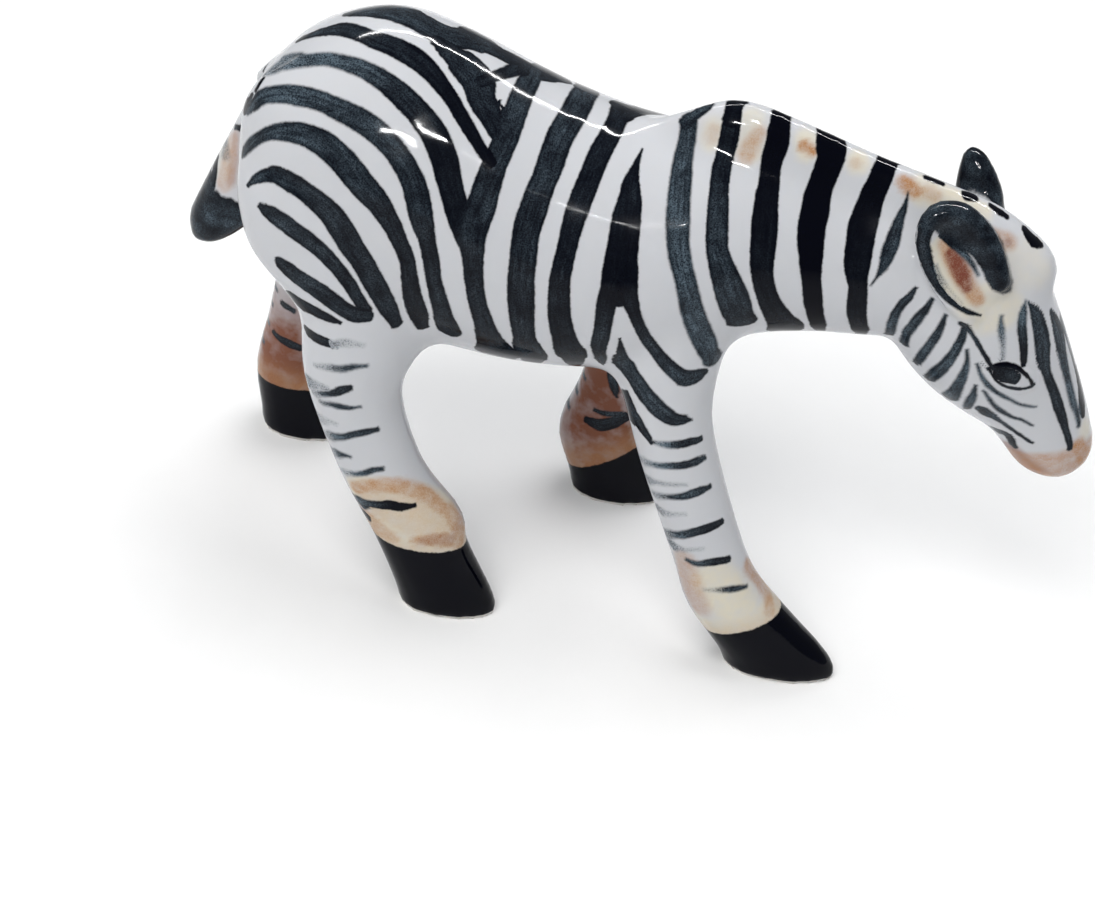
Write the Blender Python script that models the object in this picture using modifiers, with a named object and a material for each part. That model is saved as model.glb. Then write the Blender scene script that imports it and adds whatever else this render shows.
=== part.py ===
"""Porcelain zebra figurine, walking with its head lowered.

The animal faces +X, its left side is +Y, and its four soles stand on the plane z = 0.
A figure keeps its proportions, so they are written in parts: one part is a forty-fourth
of the height at the rump, a sixty-seventh of the drawn length and an eighteenth of the
body's width.
"""

import math

import bmesh
import bpy
from mathutils import Vector

# Driving dimensions, in metres
figure_height = 0.0440
figure_length = 0.0670
body_width = 0.0180
stance_width = 0.0160
fillet_radius = 0.0010
ear_back_thickness = 0.0014

# What one part is worth in each direction
part_x = figure_length / 67.0
part_y = body_width / 18.0
part_z = figure_height / 44.0
part_stance = stance_width / 16.0

# How fine the figure is drawn
skin_step = figure_height / 110.0
ring_points = 28
rings_per_span = 4
body_passes = 8
ear_passes = 3
triangle_target = 9400

# Profile stations, in parts: top or front point (x, z), bottom or rear point (x, z),
# side (y), half width, and how much the front narrows against the rear
trunk = [
    ((-24.2, 37.2), (-24.5, 33.4), 0.0, 1.6, 0.0),
    ((-23.0, 39.8), (-23.4, 29.6), 0.0, 5.2, 0.05),
    ((-20.2, 42.4), (-20.8, 25.4), 0.0, 7.5, 0.10),
    ((-15.8, 44.0), (-16.4, 21.8), 0.0, 8.8, 0.14),
    ((-10.6, 42.8), (-10.8, 20.4), 0.0, 9.2, 0.14),
    ((-4.8, 40.6), (-4.6, 19.9), 0.0, 9.2, 0.12),
    ((1.4, 39.3), (1.4, 20.8), 0.0, 8.8, 0.14),
    ((6.6, 39.6), (6.4, 22.4), 0.0, 7.6, 0.20),
    ((11.2, 39.4), (10.8, 25.2), 0.0, 5.9, 0.26),
    ((16.0, 38.6), (15.6, 26.4), 0.0, 4.8, 0.28),
    ((20.6, 37.8), (19.6, 26.8), 0.0, 4.4, 0.20),
    ((24.4, 37.0), (22.0, 27.5), 0.0, 4.0, 0.10),
    ((26.4, 34.8), (24.4, 30.4), 0.0, 2.4, 0.0),
]
mane = [
    ((0.6, 39.3), (4.4, 35.6), 0.0, 1.0, 0.2),
    ((3.9, 41.3), (6.0, 36.0), 0.0, 1.6, 0.2),
    ((7.2, 42.9), (8.0, 36.4), 0.0, 1.8, 0.2),
    ((12.0, 42.0), (12.0, 36.0), 0.0, 1.8, 0.2),
    ((17.0, 40.7), (16.6, 35.2), 0.0, 1.7, 0.2),
    ((22.4, 39.5), (21.2, 34.4), 0.0, 1.8, 0.2),
    ((26.6, 38.2), (24.8, 33.6), 0.0, 2.2, 0.1),
    ((30.6, 35.7), (28.0, 32.0), 0.0, 2.2, 0.0),
    ((31.6, 33.8), (29.2, 31.0), 0.0, 1.6, 0.0),
]
head = [
    ((22.4, 37.0), (20.8, 30.6), 0.0, 2.6, 0.0),
    ((25.2, 37.6), (21.4, 26.8), 0.0, 4.3, 0.10),
    ((29.2, 35.6), (23.2, 24.6), 0.0, 4.9, 0.12),
    ((31.6, 32.4), (25.3, 23.0), 0.0, 4.7, 0.14),
    ((33.3, 29.6), (27.6, 21.7), 0.0, 4.1, 0.12),
    ((35.2, 26.2), (29.9, 20.6), 0.0, 3.5, 0.10),
    ((37.1, 22.6), (31.5, 19.0), 0.0, 3.1, 0.05),
    ((38.2, 19.8), (32.9, 17.6), 0.0, 2.8, 0.0),
    ((37.4, 18.2), (35.0, 17.1), 0.0, 1.9, 0.0),
]
near_hind = [
    ((-12.6, 37.0), (-20.6, 38.0), -3.4, 3.2, 0.0),
    ((-10.8, 31.0), (-23.6, 33.4), -4.5, 4.3, 0.0),
    ((-10.2, 26.0), (-22.7, 28.6), -5.2, 4.2, 0.0),
    ((-10.6, 22.0), (-19.6, 23.4), -6.1, 3.7, 0.0),
    ((-11.4, 18.0), (-18.5, 18.2), -6.8, 2.9, 0.0),
    ((-8.9, 12.2), (-15.2, 11.2), -7.4, 2.5, 0.0),
    ((-5.4, 8.6), (-12.8, 7.4), -7.7, 2.4, 0.05),
    ((-4.7, 6.2), (-11.2, 4.8), -7.8, 2.3, 0.10),
    ((-1.7, 1.0), (-9.3, 0.8), -7.7, 2.25, 0.22),
    ((-1.4, -1.0), (-9.0, -1.0), -7.7, 2.1, 0.22),
]
far_hind = [
    ((-12.6, 37.0), (-20.6, 38.0), 3.4, 3.2, 0.0),
    ((-12.0, 31.0), (-23.6, 33.4), 4.5, 4.3, 0.0),
    ((-12.6, 26.0), (-22.8, 28.4), 5.3, 4.2, 0.0),
    ((-14.0, 21.4), (-21.8, 22.8), 6.4, 3.5, 0.0),
    ((-15.8, 16.0), (-22.4, 16.4), 7.4, 2.7, 0.0),
    ((-16.8, 10.4), (-22.8, 10.4), 8.2, 2.4, 0.0),
    ((-16.4, 6.4), (-23.2, 5.8), 8.7, 2.3, 0.10),
    ((-15.0, 1.0), (-22.2, 0.9), 8.9, 2.25, 0.22),
    ((-14.8, -1.0), (-22.0, -1.0), 8.9, 2.1, 0.22),
]
near_fore = [
    ((9.6, 33.0), (1.6, 34.0), -3.4, 2.8, 0.0),
    ((10.2, 28.6), (1.2, 29.0), -4.2, 3.4, 0.0),
    ((10.0, 24.6), (1.8, 25.2), -5.1, 3.3, 0.0),
    ((10.2, 21.0), (3.8, 20.8), -6.1, 2.9, 0.0),
    ((11.8, 16.8), (5.9, 16.2), -6.9, 2.6, 0.0),
    ((15.5, 9.4), (9.9, 8.4), -7.6, 2.3, 0.05),
    ((18.4, 6.2), (11.5, 5.0), -7.8, 2.4, 0.10),
    ((23.7, 1.3), (14.9, 0.9), -7.7, 2.25, 0.22),
    ((24.1, -1.0), (15.4, -1.0), -7.7, 2.1, 0.22),
]
far_fore = [
    ((9.0, 33.0), (1.6, 34.0), 3.4, 2.8, 0.0),
    ((9.2, 28.6), (0.6, 29.0), 4.2, 3.4, 0.0),
    ((8.6, 24.0), (0.8, 24.6), 5.2, 3.3, 0.0),
    ((8.0, 18.4), (1.7, 18.4), 6.7, 2.8, 0.0),
    ((7.5, 11.0), (1.2, 10.4), 7.9, 2.3, 0.05),
    ((7.8, 6.4), (0.4, 5.6), 8.3, 2.4, 0.10),
    ((9.9, 1.2), (2.2, 1.0), 8.5, 2.25, 0.22),
    ((10.1, -1.0), (2.4, -1.0), 8.5, 2.1, 0.22),
]
tail = [
    ((-22.8, 40.4), (-19.6, 38.4), 0.0, 1.3, 0.0),
    ((-24.7, 37.6), (-21.4, 36.0), 0.0, 1.6, 0.0),
    ((-26.9, 30.8), (-22.8, 29.8), 0.0, 1.9, 0.0),
    ((-28.0, 27.0), (-22.9, 26.8), 0.0, 2.3, 0.0),
    ((-28.6, 24.8), (-23.5, 25.8), 0.0, 2.2, 0.0),
    ((-28.2, 22.4), (-25.2, 23.8), 0.0, 1.6, 0.0),
]

# Ears, in parts: root, tip, the way the opening faces, and half width
near_ear = {"root": (26.9, -4.5, 32.5), "tip": (20.9, -3.2, 40.0), "faces": (0.10, -0.85, 0.45),
            "half_width": 2.7}
far_ear = {"root": (26.4, 3.4, 33.0), "tip": (24.0, 4.5, 39.4), "faces": (0.35, 0.90, 0.10),
           "half_width": 1.9}
# The rolled edge of an ear: share of its length, share of its half width, and radius
ear_roll = [
    (0.02, -0.45, 0.35),
    (0.26, -0.74, 0.50),
    (0.54, -0.82, 0.60),
    (0.80, -0.58, 0.70),
    (0.90, -0.05, 0.80),
    (0.80, 0.50, 0.92),
    (0.58, 0.74, 0.98),
    (0.34, 0.72, 0.95),
    (0.14, 0.56, 0.80),
]


def place(x, y, z):
    """A point given in parts, as metres."""
    return Vector((x * part_x, y * part_y, z * part_z))


def clear_scene():
    for obj in list(bpy.data.objects):
        bpy.data.objects.remove(obj, do_unlink=True)


def new_collection(name):
    collection = bpy.data.collections.new(name)
    bpy.context.scene.collection.children.link(collection)
    return collection


def smooth_between(rows, steps):
    """Rows of numbers with Catmull-Rom rows added between them."""
    result = []
    last = len(rows) - 1
    for i in range(last):
        around = (rows[max(i - 1, 0)], rows[i], rows[i + 1], rows[min(i + 2, last)])
        for step in range(steps):
            t = step / steps
            row = []
            for a, b, c, d in zip(*around):
                bend = (2 * a - 5 * b + 4 * c - d) * t ** 2 + (3 * b - a - 3 * c + d) * t ** 3
                row.append(b + 0.5 * ((c - a) * t + bend))
            result.append(row)
    result.append(list(rows[last]))
    return result


def turns():
    return [2 * math.pi * i / ring_points for i in range(ring_points)]


def bridge_loops(bm, loops):
    """Skins the rings in order and closes both ends."""
    for first, second in zip(loops, loops[1:]):
        for i in range(ring_points):
            j = (i + 1) % ring_points
            bm.faces.new((first[i], first[j], second[j], second[i]))
    bm.faces.new(loops[0][::-1])
    bm.faces.new(loops[-1])


def profile_ring(bm, row, part_side):
    """One ring across a limb, through its front and rear profile points."""
    front_x, front_z, rear_x, rear_z, side, half_width, narrowing = row
    ring = []
    for angle in turns():
        forward = math.sin(angle)
        across = math.cos(angle) * half_width * (1 - narrowing * forward)
        x = (front_x + rear_x) / 2 + (front_x - rear_x) / 2 * forward
        z = (front_z + rear_z) / 2 + (front_z - rear_z) / 2 * forward
        point = place(x, across, z)
        point.y += side * part_side
        ring.append(bm.verts.new(point))
    return ring


def add_limb(bm, profile, part_side=0.0):
    """A closed limb lofted through its profile stations."""
    stations = [[*front, *rear, side, half, narrow] for front, rear, side, half, narrow in profile]
    rows = smooth_between(stations, rings_per_span)
    bridge_loops(bm, [profile_ring(bm, row, part_side) for row in rows])


def ear_directions(ear):
    """An ear's root, its length, and the directions along, across and out of its opening."""
    root = place(*ear["root"])
    along = place(*ear["tip"]) - root
    length = along.length
    along.normalize()
    opening = Vector(ear["faces"])
    opening = (opening - along * opening.dot(along)).normalized()
    across = opening.cross(along)
    if across.z < 0:
        across = -across
    return root, length, along, across, opening


def add_ear_roll(bm, ear):
    """The thick rolled edge, a tube that stays open towards the root."""
    root, length, along, across, opening = ear_directions(ear)
    half_width = ear["half_width"] * part_z
    path = smooth_between([list(row) for row in ear_roll], rings_per_span)
    centres = [root + along * (a * length) + across * (b * half_width) for a, b, radius in path]
    last = len(path) - 1
    loops = []
    for i, centre in enumerate(centres):
        ahead = (centres[min(i + 1, last)] - centres[max(i - 1, 0)]).normalized()
        beside = ahead.cross(opening).normalized()
        radius = path[i][2] * part_z
        around = [opening * math.cos(angle) + beside * math.sin(angle) for angle in turns()]
        loops.append([bm.verts.new(centre + direction * radius) for direction in around])
    bridge_loops(bm, loops)


def add_ear_back(bm, ear):
    """The thin leaf behind the rolled edge."""
    root, length, along, across, opening = ear_directions(ear)
    half_width = ear["half_width"] * part_z
    behind = opening * (ear_back_thickness / 3)
    rings = ring_points // 2
    loops = []
    for i in range(1, rings):
        t = i / rings
        spread = 0.94 * math.sqrt(math.sin(math.pi * t))
        centre = root + along * (0.95 * t * length) - behind
        wide = across * (half_width * spread)
        thick = opening * (ear_back_thickness / 2 * spread)
        loops.append([bm.verts.new(centre + wide * math.cos(a) + thick * math.sin(a)) for a in turns()])
    bridge_loops(bm, loops)


def closed_mesh(bm, name):
    bmesh.ops.recalc_face_normals(bm, faces=bm.faces)
    mesh = bpy.data.meshes.new(name)
    bm.to_mesh(mesh)
    bm.free()
    return mesh


def body_clay():
    """Trunk, mane, head, tail and legs as closed, overlapping shells."""
    bm = bmesh.new()
    for profile in (trunk, mane, head, tail):
        add_limb(bm, profile)
    for profile in (near_hind, far_hind, near_fore, far_fore):
        add_limb(bm, profile, part_stance)
    return closed_mesh(bm, "body_clay")


def ear_clay(body):
    """The body's skin, with the shells of the two ears set into it."""
    bm = bmesh.new()
    bm.from_mesh(body)
    for ear in (near_ear, far_ear):
        add_ear_roll(bm, ear)
        add_ear_back(bm, ear)
    return closed_mesh(bm, "ear_clay")


def add_skin(clay):
    skin = clay.modifiers.new("skin", "REMESH")
    skin.mode = "VOXEL"
    skin.voxel_size = skin_step


def add_offset(clay, distance):
    offset = clay.modifiers.new("offset", "DISPLACE")
    offset.direction = "NORMAL"
    offset.mid_level = 0.0
    offset.strength = distance


def one_skin(mesh, collection, fillet, passes):
    """Overlapping shells as one skin, with filleted hollows and softened edges."""
    clay = bpy.data.objects.new("clay", mesh)
    collection.objects.link(clay)
    add_skin(clay)
    if fillet:
        for distance in (fillet, -fillet):
            add_offset(clay, distance)
            add_skin(clay)
    soft = clay.modifiers.new("soft", "SMOOTH")
    soft.factor = 0.5
    soft.iterations = passes
    graph = bpy.context.evaluated_depsgraph_get()
    skin = bpy.data.meshes.new_from_object(clay.evaluated_get(graph), depsgraph=graph)
    bpy.data.objects.remove(clay, do_unlink=True)
    return skin


def centre_mesh(mesh):
    """Moves the figure so that the middle of its length and width is at the origin."""
    for axis in (0, 1):
        places = [vertex.co[axis] for vertex in mesh.vertices]
        middle = (min(places) + max(places)) / 2
        for vertex in mesh.vertices:
            vertex.co[axis] -= middle


def sole_cutter(collection):
    """A block whose top is the plane that the four soles stand on."""
    depth = 0.1 * figure_height
    side = 2 * figure_length
    bm = bmesh.new()
    bmesh.ops.create_cube(bm, size=1.0)
    bmesh.ops.scale(bm, vec=(side, side, depth), verts=bm.verts)
    bmesh.ops.translate(bm, vec=(0, 0, -depth / 2), verts=bm.verts)
    cutter = bpy.data.objects.new("sole_plane", closed_mesh(bm, "sole_plane"))
    cutter.hide_render = True
    cutter.display_type = "WIRE"
    collection.objects.link(cutter)
    return cutter


def glazed_porcelain():
    material = bpy.data.materials.new("glazed_porcelain")
    material.use_nodes = True
    shader = material.node_tree.nodes["Principled BSDF"]
    shader.inputs["Base Color"].default_value = (0.86, 0.87, 0.88, 1.0)
    shader.inputs["Roughness"].default_value = 0.12
    shader.inputs["Metallic"].default_value = 0.0
    return material


def add_figure(skin, collection, cutters):
    """The finished casting: centred, thinned to few faces and cut flat under its hooves."""
    centre_mesh(skin)
    skin.materials.clear()
    skin.materials.append(glazed_porcelain())
    zebra = bpy.data.objects.new("zebra_figurine", skin)
    collection.objects.link(zebra)
    thin = zebra.modifiers.new("thin", "DECIMATE")
    thin.ratio = min(1.0, triangle_target / (2 * len(skin.polygons)))
    soles = zebra.modifiers.new("soles", "BOOLEAN")
    soles.operation = "DIFFERENCE"
    soles.solver = "EXACT"
    soles.object = sole_cutter(cutters)


def main():
    clear_scene()
    parts = new_collection("zebra_figurine")
    cutters = new_collection("cutters")
    body = one_skin(body_clay(), parts, fillet_radius, body_passes)
    skin = one_skin(ear_clay(body), parts, 0.0, ear_passes)
    add_figure(skin, parts, cutters)
    bpy.context.view_layer.update()


main()
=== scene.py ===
import math

import bpy
import numpy as np
from mathutils import Matrix, Vector
from mathutils.bvhtree import BVHTree


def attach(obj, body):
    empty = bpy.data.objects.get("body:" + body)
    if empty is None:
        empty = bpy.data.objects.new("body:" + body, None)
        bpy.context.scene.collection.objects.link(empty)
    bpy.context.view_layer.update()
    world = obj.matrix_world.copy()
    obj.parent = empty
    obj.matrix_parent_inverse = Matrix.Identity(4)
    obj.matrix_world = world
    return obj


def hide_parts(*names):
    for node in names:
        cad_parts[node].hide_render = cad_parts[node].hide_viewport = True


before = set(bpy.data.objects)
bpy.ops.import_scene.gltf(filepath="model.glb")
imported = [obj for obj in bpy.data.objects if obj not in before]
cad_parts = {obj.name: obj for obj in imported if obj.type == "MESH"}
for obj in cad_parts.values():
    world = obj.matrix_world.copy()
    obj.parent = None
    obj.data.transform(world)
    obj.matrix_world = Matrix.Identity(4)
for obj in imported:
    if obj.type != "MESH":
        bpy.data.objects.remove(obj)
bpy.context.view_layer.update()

mm = 0.001

# The view that every painted mark below is given in
view = {
    "pictureWidth": 1095.0,
    "pictureHeight": 906.0,
    "azimuth": -3.0,  # degrees, 0 looks along +Y
    "elevation": 40.0,
    "roll": 13.0,  # the camera is held turned clockwise
    "distance": 220.0 * mm,
    "focalPixels": 2977.4,
    "target": (-4.96 * mm, -0.51 * mm, 9.30 * mm),
    "sensor": 36.0,
}


def cameraAxes():
    turn, rise, roll = (math.radians(view[key]) for key in ("azimuth", "elevation", "roll"))
    back = Vector((math.sin(turn) * math.cos(rise), -math.cos(turn) * math.cos(rise), math.sin(rise)))
    level = Vector((math.cos(turn), math.sin(turn), 0.0))
    upright = back.cross(level)
    right = level * math.cos(roll) + upright * math.sin(roll)
    up = upright * math.cos(roll) - level * math.sin(roll)
    return right, up, back


axes = cameraAxes()
eyePoint = Vector(view["target"]) + axes[2] * view["distance"]
perPixel = view["distance"] / view["focalPixels"] / mm  # mm on the object under one pixel of the view


def pixelRay(u, v):
    right, up, back = axes
    across, down = u - view["pictureWidth"] / 2, v - view["pictureHeight"] / 2
    return (right * across - up * down - back * view["focalPixels"]).normalized()


def onlySelect(obj):
    bpy.ops.object.select_all(action="DESELECT")
    bpy.context.view_layer.objects.active = obj
    obj.select_set(True)


def applyModifier(obj, kind, **settings):
    modifier = obj.modifiers.new(kind.title(), kind)
    for key, value in settings.items():
        setattr(modifier, key, value)
    onlySelect(obj)
    bpy.ops.object.modifier_apply(modifier=modifier.name)


# The clay body under the paint
skin = {
    "name": "glazed_zebra",
    "grain": 0.335 * mm,  # spacing of the fine mesh
    "rounds": 9,  # pairs of smoothing steps
    "headRounds": 5,
    "eyeRounds": 3,
    "push": 0.5,
    "pull": -0.53,
    "headFrom": (17.0 * mm, 14.5 * mm),  # x and z past which the mesh is twice as fine
    "eyeReach": 1.9 * mm,  # round the eyes it is four times as fine
    "soleFlat": 0.10 * mm,
    "middle": -0.51 * mm,  # y of the plane that the body is symmetric about
}


def relax(obj, rounds, last, **zone):  # smooths and swells by turns, which keeps the volume
    for factor in [skin["push"], skin["pull"]] * rounds + [skin["push"]] * last:
        applyModifier(obj, "SMOOTH", factor=factor, iterations=1, **zone)


def makeSkin():
    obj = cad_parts["zebra_figurine"].copy()
    obj.data = obj.data.copy()
    obj.name = skin["name"]
    obj.parent = None
    bpy.context.scene.collection.objects.link(obj)
    obj.data.materials.clear()
    onlySelect(obj)
    bpy.ops.object.mode_set(mode="EDIT")
    bpy.ops.mesh.select_all(action="SELECT")
    bpy.ops.mesh.remove_doubles(threshold=0.001 * mm)
    bpy.ops.object.mode_set(mode="OBJECT")
    applyModifier(obj, "REMESH", mode="VOXEL", voxel_size=skin["grain"])
    relax(obj, skin["rounds"], 2)
    return obj


def pull(items, key, kind, width=1):
    values = np.empty(len(items) * width, kind)
    items.foreach_get(key, values)
    return values


def coordinates(obj, key="co"):
    return pull(obj.data.vertices, key, np.float32, 3).reshape(-1, 3).astype(float)


def setCoordinates(obj, points):
    obj.data.vertices.foreach_set("co", points.astype(np.float32).ravel())
    obj.data.update()


def treeOf(obj):
    return BVHTree.FromObject(obj, bpy.context.evaluated_depsgraph_get())


def refine(obj, chosen, rounds):  # halves the spacing where chosen, then rounds the new facets
    onlySelect(obj)
    bpy.ops.object.mode_set(mode="EDIT")
    bpy.ops.mesh.select_all(action="DESELECT")
    bpy.ops.object.mode_set(mode="OBJECT")
    corners = pull(obj.data.loops, "vertex_index", np.int32)
    starts = pull(obj.data.polygons, "loop_start", np.int32)
    obj.data.polygons.foreach_set("select", chosen[corners[starts]])
    bpy.ops.object.mode_set(mode="EDIT")
    bpy.ops.mesh.select_mode(type="FACE")
    bpy.ops.mesh.subdivide(number_cuts=1, smoothness=0.0)
    bpy.ops.object.mode_set(mode="OBJECT")
    group = obj.vertex_groups.new(name="fine")
    picked = np.nonzero(pull(obj.data.vertices, "select", bool))[0]
    group.add(picked.tolist(), 1.0, "REPLACE")
    relax(obj, rounds, 1, vertex_group="fine")
    obj.vertex_groups.remove(obj.vertex_groups["fine"])


def hitPixel(tree, u, v, depth=None, jump=2.0 * mm):  # where a pixel of the view meets the skin
    ray = pixelRay(u, v)
    place, normal, _, found = tree.ray_cast(eyePoint, ray)
    if place is not None and (depth is None or abs(found - depth) < jump):
        return place, normal, found
    if depth is None:
        return None
    place, normal, _, _ = tree.find_nearest(eyePoint + ray * depth)
    return place, normal, (place - eyePoint).dot(ray)


def drawnLine(points, step=3.0):  # a smooth row through the picked points, every few pixels
    rows = np.array(points, float)
    last = len(rows) - 1
    result = []
    for i in range(last):
        a, b, c, d = rows[max(i - 1, 0)], rows[i], rows[i + 1], rows[min(i + 2, last)]
        count = max(2, round(float(np.hypot(*(c - b)[:2])) / step))
        for t in np.arange(count) / count:
            bend = (2 * a - 5 * b + 4 * c - d) * t ** 2 + (3 * b - a - 3 * c + d) * t ** 3
            result.append(b + 0.5 * ((c - a) * t + bend))
    result.append(rows[last])
    return np.array(result)


def ribbon(tree, points):  # a brush mark laid on the skin: middle, half width, side and normal
    rows = drawnLine(points) if len(points) > 1 else np.array(points * 2, float)
    ahead = np.gradient(rows[:, :2], axis=0) if len(points) > 1 else np.array([[1.0, 0.0]] * 2)
    ahead /= np.maximum(np.linalg.norm(ahead, axis=1), 1e-6)[:, None]
    depths = [None] * len(rows)
    middle = len(rows) // 2
    start = hitPixel(tree, rows[middle][0], rows[middle][1])
    if start is None:
        return None
    marks = [None] * len(rows)
    order = list(range(middle, len(rows))) + list(range(middle - 1, -1, -1))
    for i in order:
        depth = start[2] if i == middle else depths[i - 1 if i > middle else i + 1]
        u, v, width = rows[i]
        place, normal, depths[i] = hitPixel(tree, u, v, depth)
        side = np.array([-ahead[i][1], ahead[i][0]]) * width / 2
        left = hitPixel(tree, u + side[0], v + side[1], depths[i])[0]
        right = hitPixel(tree, u - side[0], v - side[1], depths[i])[0]
        centre = tree.find_nearest((left + right) / 2)[0]
        across = left - right
        marks[i] = (centre, max(across.length / 2, 0.02 * mm), across.normalized(), normal)
    return marks


def runOn(tree, marks, length, turning=0.8, step=0.35 * mm):  # carries a mark on, bent to the middle
    rows = list(marks)
    heading = (rows[-1][0] - rows[-3][0]).normalized()
    half = rows[-1][1]
    inward = Vector((0, 1 if rows[-1][0].y < skin["middle"] else -1, 0))
    count = max(1, round(length / step))
    for i in range(1, count + 1):
        flat = inward - rows[-1][3] * inward.dot(rows[-1][3])
        heading = (heading + flat.normalized() * turning).normalized()
        place, normal, _, _ = tree.find_nearest(rows[-1][0] + heading * step)
        side = heading.cross(normal).normalized()
        if side.dot(rows[-1][2]) < 0:
            side = -side
        rows.append((place, half * math.sqrt(max(0.02, 1 - i / count)), side, normal))
    return rows


def mirrored(tree, marks, reach=0.9 * mm):
    rows = []
    for place, half, side, _ in marks:
        flip = Vector((place.x, 2 * skin["middle"] - place.y, place.z))
        found, normal, _, distance = tree.find_nearest(flip)
        if distance < reach:
            rows.append((found, half, Vector((side.x, -side.y, side.z)), normal))
    return rows if len(rows) > 1 else None


def smoothStep(values, low, high):
    t = np.clip((values - low) / (high - low), 0, 1)
    return t * t * (3 - 2 * t)


def toPixels(points):
    right, up, back = (np.array(axis) for axis in axes)
    off = points - np.array(eyePoint)
    depth = -(off @ back)
    return np.stack([view["pictureWidth"] / 2 + view["focalPixels"] * (off @ right) / depth,
                     view["pictureHeight"] / 2 - view["focalPixels"] * (off @ up) / depth], axis=1)


def insideOutline(places, outline):  # distance to an outline in the view, in mm, less than 0 inside it
    corners = np.array(outline, float)
    best = np.full(len(places), 1e9)
    inside = np.zeros(len(places), bool)
    for a, b in zip(corners, np.roll(corners, -1, axis=0)):
        t = np.clip(((places - a) @ (b - a)) / ((b - a) @ (b - a)), 0, 1)
        best = np.minimum(best, np.linalg.norm(places - a - t[:, None] * (b - a), axis=1))
        crosses = (a[1] > places[:, 1]) != (b[1] > places[:, 1])
        rise = (b[1] - a[1]) if b[1] != a[1] else 1e-9
        inside ^= crosses & (places[:, 0] < a[0] + (places[:, 1] - a[1]) * (b[0] - a[0]) / rise)
    return np.where(inside, -best, best) * perPixel


brush = {"layers": 3, "margin": 1.2 * mm}


class Paint:  # what has been painted on each point of the skin so far
    def __init__(self, obj):
        self.points = coordinates(obj)
        self.normals = coordinates(obj, "normal")
        self.facing = self.normals @ np.array(axes[2])
        count = len(self.points)
        # Marks that lie close together go to different layers, so that each layer is smooth between them
        self.marks = [np.tile((3.0, 3.0, 0.0), (count, 1)) for _ in range(brush["layers"])]
        self.inks = [np.tile((0.0, 0.8, 0.0), (count, 1)) for _ in range(brush["layers"])]
        self.dipped = np.full(count, 3.0)  # hooves, tuft and ears, in mm outside their edge
        self.dippedInk = np.full(count, 1.0)
        self.tint = {name: np.zeros(count) for name in tints}
        self.number = 0

    def near(self, rows, margin):
        line = np.array([row[0] for row in rows])
        widest = max(row[1] for row in rows) + margin
        return np.all((self.points > line.min(0) - widest) & (self.points < line.max(0) + widest), axis=1)

    def measure(self, rows, chosen):  # for each point: across, outside, along and half width, all in mm
        p, n = self.points[chosen], self.normals[chosen]
        values = np.tile((3.0, 9.0, 0.0, 0.0), (len(p), 1))
        along = 0.0
        for first, second in zip(rows, rows[1:]):
            a, b = np.array(first[0]), np.array(second[0])
            span = max(float(np.linalg.norm(b - a)), 1e-9)
            t = np.clip((p - a) @ (b - a) / span ** 2, 0, 1)
            off = p - a - t[:, None] * (b - a)
            half = first[1] + t * (second[1] - first[1])
            outside = (np.linalg.norm(off, axis=1) - half) / mm
            outside = outside + np.where(n @ np.array(first[3]) < -0.1, 3.0, 0.0)
            better = outside < values[:, 1]
            across = off @ np.array(first[2]) / mm
            found = np.stack([across, outside, along + t * span / mm, half / mm], axis=1)
            values[better] = found[better]
            along += span / mm
        values[:, 2] /= max(along, 0.1)  # share of the way along the mark
        return values, along

    def stroke(self, rows, density, behind=False):
        self.number += 1
        chosen = self.near(rows, brush["margin"])
        if not chosen.any():
            return
        found, length = self.measure(rows, chosen)
        if behind:  # the far side only, out of the view
            found[:, 1] += 3.0 * np.clip((self.facing[chosen] - 0.04) / 0.12, 0, 1)
        index = np.nonzero(chosen)[0]
        close = index[found[:, 1] < 0.5]
        crowd = [np.count_nonzero(mark[close, 1] < 0.6) for mark in self.marks]
        layer = int(np.argmin(crowd))
        better = found[:, 1] < self.marks[layer][index, 1]
        index, found = index[better], found[better]
        strength = density[0] + (density[1] - density[0]) * smoothStep(found[:, 2], 0.05, 0.75)
        self.marks[layer][index] = found[:, [0, 1, 3]]
        numbers = np.full(len(index), self.number)
        self.inks[layer][index] = np.stack([found[:, 2] * length, strength, numbers], axis=1)

    def dip(self, outside, ink):
        better = outside < self.dipped
        self.dipped[better] = outside[better]
        self.dippedInk[better] = ink

    def soak(self, name, rows, density, softness, behind=False):
        chosen = self.near(rows, softness * mm)
        if not chosen.any():
            return
        outside = self.measure(rows, chosen)[0][:, 1]
        share = density * smoothStep(1 - outside / softness, 0, 1)
        if behind:
            share = share * np.clip((0.2 - self.facing[chosen]) / 0.15, 0, 1)
        self.tint[name][chosen] = np.maximum(self.tint[name][chosen], share)

    def wash(self, name, share):
        self.tint[name] = np.maximum(self.tint[name], share)


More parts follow.
